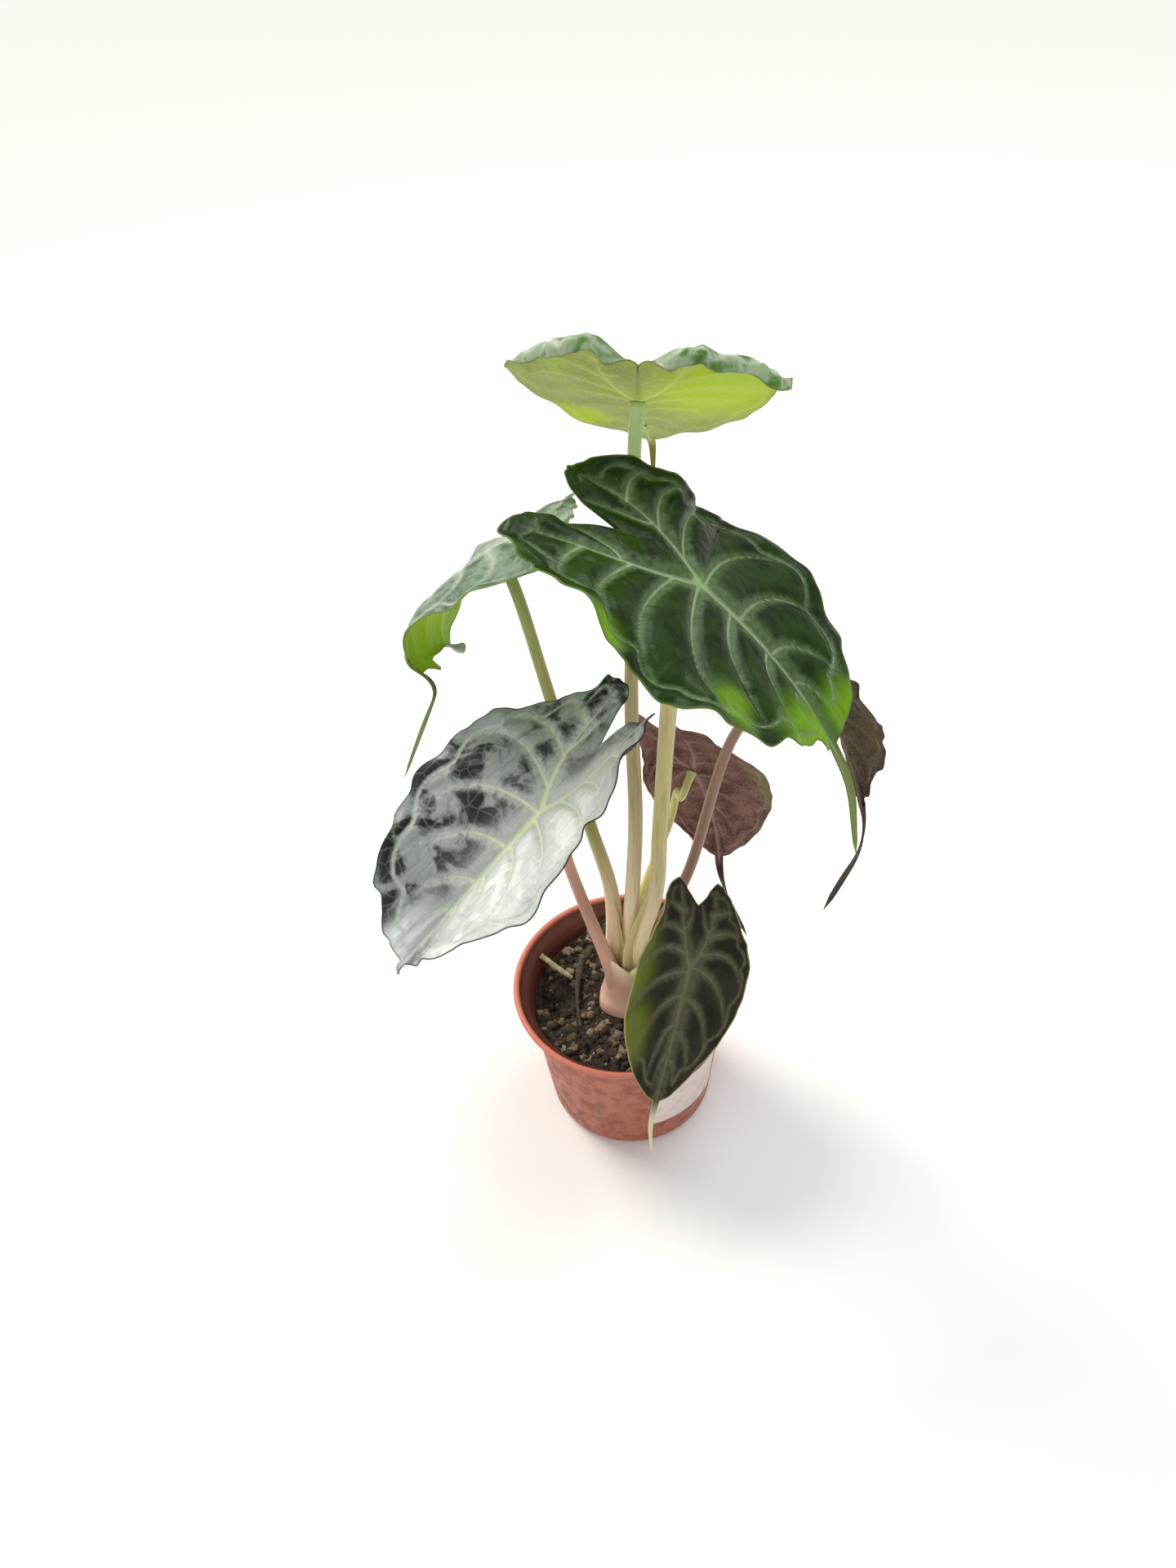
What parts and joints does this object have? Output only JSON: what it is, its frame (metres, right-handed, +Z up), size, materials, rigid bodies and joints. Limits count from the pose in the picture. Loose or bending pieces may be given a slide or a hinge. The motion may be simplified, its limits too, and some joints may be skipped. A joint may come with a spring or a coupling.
{
  "type": "potted alocasia",
  "caption": "Arrow-leaved alocasia house plant with veined, drip-tipped leaves on upright stalks, growing from soil in a round tapered plastic nursery pot",
  "frame": {"origin": "middle of the pot's flat underside, on the surface it stands on", "axes": "+Z up, along the pot's axis; -Y towards the side where the big front leaf hangs and the label shows; +X to the right seen from there"},
  "size_m": [0.2202, 0.1813, 0.4368],
  "materials": {
    "pot_plastic": "injection-moulded terracotta-coloured polypropylene, dusty satin",
    "label_paper": "blank matt self-adhesive label",
    "potting_mix": "loose dark peat potting mix with lighter fibres",
    "corm_skin": "fleshy pinkish-tan swollen stem foot, cream where the stalks clasp it",
    "leaf_lime": "thin glossy leaf, lime with light through it, paler veins",
    "leaf_green": "glossy dark green leaf with silvery vein bands",
    "leaf_silver_green": "silvery pale green leaf with a cream midrib, lime underneath",
    "leaf_silver": "silver leaf with dark grey-green blotches between the veins, purple-black underneath",
    "leaf_bronze": "dark brown-olive leaf underside with ribs, purple at the tip",
    "leaf_purple": "purple-brown leaf underside with mauve veins, olive to one side",
    "leaf_dark": "near-black green leaf with soft grey-green veins and a pale midrib",
    "petiole_olive": "smooth olive-tan leaf stalk, light green at the top, cream at the foot",
    "petiole_pink": "smooth pinkish-brown leaf stalk",
    "petiole_brown": "smooth taupe-brown leaf stalk",
    "petiole_pale": "smooth pale yellow-green leaf stalk",
    "dry_straw": "dry bleached plant stalk",
    "root_skin": "rough grey-brown old root",
    "bark_crumb": "crumbly beige bark and perlite"
  },
  "bodies": {
    "root": {"nursery_pot": "pot_plastic", "pot_label": "label_paper", "potting_soil": "potting_mix", "corm": "corm_skin", "blade_crown": "leaf_lime", "blade_front": "leaf_green", "blade_upper_left": "leaf_silver_green", "blade_lower_left": "leaf_silver", "blade_right": "leaf_bronze", "blade_back": "leaf_purple", "blade_small": "leaf_dark", "petiole_crown": "petiole_olive", "petiole_front": "petiole_olive", "petiole_upper_left": "petiole_olive", "petiole_lower_left": "petiole_pink", "petiole_right": "petiole_brown", "petiole_back": "petiole_pale", "petiole_small": "petiole_pale", "dry_stalk": "dry_straw", "old_root": "root_skin", "crumb_1": "bark_crumb", "crumb_2": "bark_crumb", "crumb_3": "bark_crumb", "crumb_4": "bark_crumb", "crumb_5": "bark_crumb"}
  },
  "joints": []
}
